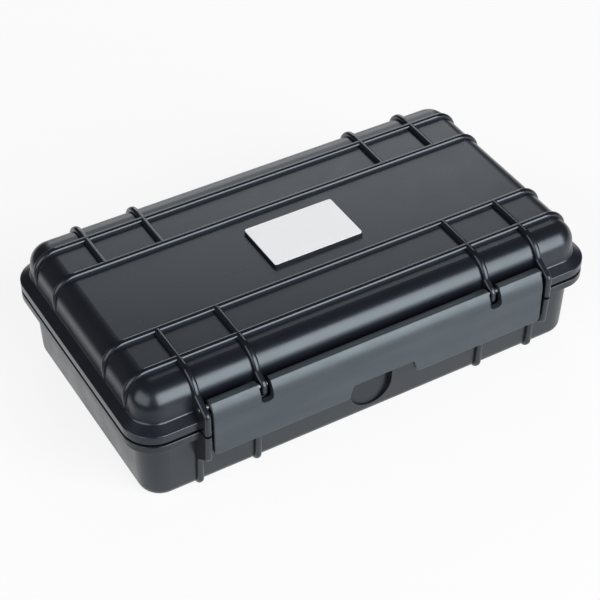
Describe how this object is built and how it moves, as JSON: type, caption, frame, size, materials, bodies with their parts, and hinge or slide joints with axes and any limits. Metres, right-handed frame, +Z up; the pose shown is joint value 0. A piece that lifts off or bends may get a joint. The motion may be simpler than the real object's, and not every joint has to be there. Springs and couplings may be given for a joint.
{
  "type": "waterproof hard case",
  "caption": "Small black waterproof hard case with a ribbed hinged lid, a seal, foam pads and one full-width latch bar along the front.",
  "frame": {"origin": "on the surface the case stands on, under the middle of its box", "axes": "+X along the case to the right, +Y to the back where the hinges are, +Z up; the latch is at -Y"},
  "size_m": [0.2278, 0.1384, 0.0622],
  "materials": {
    "base_plastic": "fine satin grain",
    "lid_plastic": "fine satin grain",
    "latch_plastic": "fine satin grain",
    "pin_steel": "drawn steel",
    "seal_rubber": "matt rubber",
    "label_white": "satin white",
    "foam": "open cell foam"
  },
  "bodies": {
    "base": {"base_shell": "base_plastic", "base_foam": "foam", "hinge_pin_left": "pin_steel", "hinge_pin_right": "pin_steel"},
    "lid": {"lid_shell": "lid_plastic", "lid_gasket": "seal_rubber", "lid_foam": "foam", "label_plate": "label_white", "latch_pin_left": "pin_steel", "latch_pin_right": "pin_steel"},
    "latch": {"latch_bar": "latch_plastic"}
  },
  "joints": [
    {"name": "lid_hinge", "type": "hinge", "parent": "base", "child": "lid", "pos_m": [0, 0.0657, 0.03755], "axis": [-1, 0, 0], "range_deg": [0, 120]},
    {"name": "latch_hinge", "type": "hinge", "parent": "lid", "child": "latch", "pos_m": [0, -0.0636, 0.04905], "axis": [-1, 0, 0], "range_deg": [0, 120]}
  ]
}
